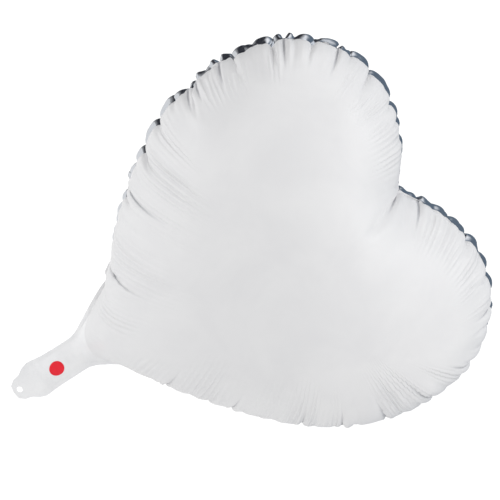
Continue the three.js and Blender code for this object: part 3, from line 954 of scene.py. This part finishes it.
def finish(name, light, dark, rough, crinkle_height, gather_height=0.0, crinkle_scale=1.0,
           dust_amount=0.15, **shader):
    """light and dark: colours the film varies between, by random mottling and by painted shade
    along the ripples and tucks; rough: lowest and highest roughness.
    """
    material = bpy.data.materials.new(name)
    material.use_nodes = True
    tree = material.node_tree
    tree.nodes.clear()
    cut = add(tree, "ShaderNodeUVMap", {"uv_map": "cut"}).outputs[0]
    rim_uv = add(tree, "ShaderNodeUVMap", {"uv_map": "rim"}).outputs[0]
    tuck_uv = add(tree, "ShaderNodeUVMap", {"uv_map": "tuck"}).outputs[0]
    crinkled = add(tree, "ShaderNodeGroup", {"node_tree": crinkle}, Vector=cut, Scale=crinkle_scale)
    gathered = add(tree, "ShaderNodeGroup", {"node_tree": gathers}, Rim=rim_uv, Tuck=tuck_uv,
                   Pitch=FINE_PITCH, Reach=FINE_REACH)
    dusty = add(tree, "ShaderNodeGroup", {"node_tree": dust}, Vector=cut, Amount=dust_amount)
    # Colour tone: random mottling from the crinkle, plus painted shade and highlight that follow
    # the gather ripples and are darkest in the pressed tucks
    mottle_and_ripple_shade = calc(tree, "ADD", calc(tree, "MULTIPLY", crinkled.outputs["Height"], 0.6),
                calc(tree, "MULTIPLY", gathered.outputs["Height"], 0.09))
    colour = mixed(tree, ramp(tree, mottle_and_ripple_shade, 0.15, 0.65), dark, light)
    # Painted shade: where the Crease mask is, the colour is drawn towards grey, as if the tuck
    # shaded itself
    shaded = add(tree, "ShaderNodeMix", {"data_type": "RGBA"},
                 Factor=calc(tree, "MULTIPLY", gathered.outputs["Crease"], CREASE_SHADE_SHARE))
    tree.links.new(colour, shaded.inputs[6])
    shaded.inputs[7].default_value = (*CREASE_SHADE_GREY, 1)
    colour = shaded.outputs[2]
    grainy = calc(tree, "ADD", crinkled.outputs["Grain"], dusty.outputs["Mask"])
    roughness = ramp(tree, grainy, 0.3, 0.8, rough[0], rough[1])
    normal = add(tree, "ShaderNodeBump", Height=crinkled.outputs["Height"], Strength=1.0,
                 Distance=crinkle_height * MM).outputs[0]
    if gather_height:
        normal = add(tree, "ShaderNodeBump", Height=gathered.outputs["Height"], Strength=1.0,
                     Distance=gather_height * MM, Normal=normal).outputs[0]
    skin = add(tree, "ShaderNodeBsdfPrincipled", Base_Color=colour, Roughness=roughness,
               Normal=normal)
    for socket, value in shader.items():
        skin.inputs[socket.replace("_", " ")].default_value = value
    out = tree.nodes.new("ShaderNodeOutputMaterial")
    tree.links.new(skin.outputs[0], out.inputs["Surface"])
    return material

# %% Six finishes: colours, roughness, height of the crinkle and of the gathers in mm
white_foil = finish("pearl_white_film", (0.87, 0.87, 0.875), (0.80, 0.80, 0.812), (0.32, 0.44),
                    0.5, 0.3, Metallic=0.07)
silver_foil = finish("silver_metal_film", (0.80, 0.82, 0.85), (0.70, 0.73, 0.78), (0.10, 0.22),
                     1.0, 0.16, Metallic=1.0)
# On the tail the mottling between the two colours also stands for light that shines unevenly
# through the milky film: painted light, over the film's own random tone
tail_film = finish("milky_tail_film", (0.965, 0.965, 0.97), (0.86, 0.865, 0.88), (0.26, 0.40),
                   2.0, 0.0, 2.2)
sealing = finish("sealed_edge", (0.88, 0.885, 0.90), (0.74, 0.75, 0.78), (0.34, 0.5),
                 0.8, 0.0, 3.0)
clear_film = finish("clear_valve_film", (0.92, 0.93, 0.94), (0.86, 0.87, 0.89), (0.14, 0.26),
                    0.8, 0.0, 2.0, Alpha=0.35)
red_ink = finish("red_ink", (0.95, 0.0, 0.022), (0.80, 0.0, 0.014), (0.30, 0.44),
                 0.4, 0.0, 2.0)

# %% Dressing the pieces
FINISHES = {
    "white_foil": (white_foil, [("heart", "front")]),
    "silver_foil": (silver_foil, [("heart", "back")]),
    "tail_film": (tail_film, [(k, side) for k in ("tail", "tab") for side in ("front", "back")]),
    "sealing_layer": (sealing, [("heart", "weld"), ("tail", "weld"), ("tab", "weld")]),
    "clear_film": (clear_film, [("valve", k) for k in ("front", "back", "left", "right")]),
    "red_print": (red_ink, [("dot", "front")]),
}
for slot_name, (material, keys) in FINISHES.items():
    for key in keys:
        pieces[key].data.materials.append(material)
print(len(FINISHES), "finishes")

# %% [markdown]
# ## Camera
# The balloon is seen from the front and a little from above, and rolled, so that its tail points to
# the lower left. A long lens keeps the heart's proportions.

# %% Camera
AXIS_RIGHT = Vector((0.462, 0, 0.887)).normalized()   # rightwards across the view, before tilting
AXIS_UP = Vector((-0.887, 0, 0.462)).normalized()
TILT = math.radians(20)
TILT_TOWARDS = math.radians(83.6)
ROLL = math.radians(-0.90)
LENS, DISTANCE = 80.0, 1.0002
LOOK_AT = Vector((-0.01502, -0.10305, -0.03241))

aside = AXIS_RIGHT * math.cos(TILT_TOWARDS) + AXIS_UP * math.sin(TILT_TOWARDS)
towards = (Vector((0, -1, 0)) * math.cos(TILT) + aside * math.sin(TILT)).normalized()
up = (AXIS_UP - towards * AXIS_UP.dot(towards)).normalized()
right = up.cross(towards)
rolled = right * math.cos(ROLL) + up * math.sin(ROLL)
up = up * math.cos(ROLL) - right * math.sin(ROLL)
right = rolled
turn = Matrix((right, up, towards)).transposed().to_4x4()
lens = bpy.data.cameras.new("camera")
lens.lens = LENS
camera = bpy.data.objects.new("camera", lens)
camera.matrix_world = Matrix.Translation(LOOK_AT + towards * DISTANCE) @ turn
bpy.context.scene.collection.objects.link(camera)
bpy.context.scene.camera = camera
print("camera", [round(v, 3) for v in camera.matrix_world.translation])

# %% [markdown]
# ## Studio
# White satin needs a very even light, and a mirror needs something to mirror. The world therefore
# shows the lens plain white, and shows glossy surfaces a bright studio with a dark curtain and a
# grey-blue one behind the balloon. Soft lamps at both sides lift the flanks, and the floor is
# pale.

# %% World
world = bpy.data.worlds.new("studio")
bpy.context.scene.world = world
world.use_nodes = True
sky = world.node_tree
sky.nodes.clear()
looking = add(sky, "ShaderNodeTexCoord").outputs["Generated"]


def cone(axis, inner, outer):
    """1 within the inner angle of the axis, 0 beyond the outer one."""
    made = sky.nodes.new("ShaderNodeVectorMath")
    made.operation = "DOT_PRODUCT"
    sky.links.new(looking, made.inputs[0])
    made.inputs[1].default_value = axis.normalized()
    outside, inside = (math.cos(math.radians(angle)) for angle in (outer, inner))
    return ramp(sky, made.outputs["Value"], outside, inside)


def layered(under, factor, colour):
    made = add(sky, "ShaderNodeMix", {"data_type": "RGBA"}, Factor=factor)
    if isinstance(under, tuple):
        made.inputs[6].default_value = (*under, 1)
    else:
        sky.links.new(under, made.inputs[6])
    made.inputs[7].default_value = (*colour, 1)
    return made.outputs[2]

# %% What the film mirrors, and what lights it
away = -towards
STUDIO = {                 # axis of a cone, its inner and outer angle, and its colour
    "round the lens": (towards, 15, 75, (0.80, 0.80, 0.81)),
    "behind": (away, 20, 75, (0.40, 0.43, 0.48)),
    "blue curtain": (right + up * 0.35 + away * 0.75, 38, 66, (0.13, 0.17, 0.22)),
    "dark curtain": (up * 0.6 - right * 0.95 + away * 0.35, 50, 70, (0.03, 0.032, 0.04)),
    "floor": (Vector((0, 0, -1)), 55, 88, (0.66, 0.66, 0.66)),
}
seen = (1.05, 1.05, 1.06)
for axis, inner, outer, colour in STUDIO.values():
    seen = layered(seen, cone(axis, inner, outer), colour)
path = add(sky, "ShaderNodeLightPath")
plain = add(sky, "ShaderNodeBackground", Color=(1.0, 1.0, 1.0, 1), Strength=1.1)
lit = add(sky, "ShaderNodeBackground", Color=(1.0, 1.0, 1.0, 1), Strength=0.83)
mirrored = add(sky, "ShaderNodeBackground", Color=seen, Strength=1.0)
chosen = add(sky, "ShaderNodeMixShader", _0=path.outputs["Is Glossy Ray"], _1=lit.outputs[0],
             _2=mirrored.outputs[0])
chosen = add(sky, "ShaderNodeMixShader", _0=path.outputs["Is Camera Ray"], _1=chosen.outputs[0],
             _2=plain.outputs[0])
ending = sky.nodes.new("ShaderNodeOutputWorld")
sky.links.new(chosen.outputs[0], ending.inputs["Surface"])

# %% Lamps
def lamp(name, direction, distance, size, watts):
    data = bpy.data.lights.new(name, "AREA")
    data.shape, data.size, data.energy = "DISK", size, watts
    made = bpy.data.objects.new(name, data)
    where = LOOK_AT + direction.normalized() * distance
    aim = direction.to_track_quat("Z", "Y").to_matrix().to_4x4()
    made.matrix_world = Matrix.Translation(where) @ aim
    made.visible_glossy = False        # the film mirrors the studio, not the lamps
    made.visible_camera = False
    bpy.context.scene.collection.objects.link(made)
    return made


lamp("side_left", towards * 0.3 - right + up * 0.3, 0.85, 0.7, 1.0)
lamp("side_right", towards * 0.3 + right + up * 0.35, 1.6, 1.0, 7.0)

# %% Floor
FLOOR_Z = -0.95
FLOOR_RADIUS = 2.4
FLOOR_GLOW = 0.5           # only for the lens, so that floor and background are one white
around = circle(np.zeros(2), FLOOR_RADIUS, 96)
floor_mesh = bpy.data.meshes.new("floor")
floor_mesh.from_pydata([(x, y, FLOOR_Z) for x, y in around.tolist()], [], [tuple(range(96))])
floor = bpy.data.objects.new("floor", floor_mesh)
bpy.context.scene.collection.objects.link(floor)
pale = bpy.data.materials.new("pale_floor")
pale.use_nodes = True
paint = pale.node_tree
matt = paint.nodes["Principled BSDF"]
matt.inputs["Base Color"].default_value = (0.92, 0.92, 0.92, 1)
matt.inputs["Roughness"].default_value = 0.9
matt.inputs["Emission Color"].default_value = (1, 1, 1, 1)
to_lens = add(paint, "ShaderNodeLightPath").outputs["Is Camera Ray"]
paint.links.new(calc(paint, "MULTIPLY", to_lens, FLOOR_GLOW), matt.inputs["Emission Strength"])
floor_mesh.materials.append(pale)
bpy.context.scene.view_settings.view_transform = "Standard"
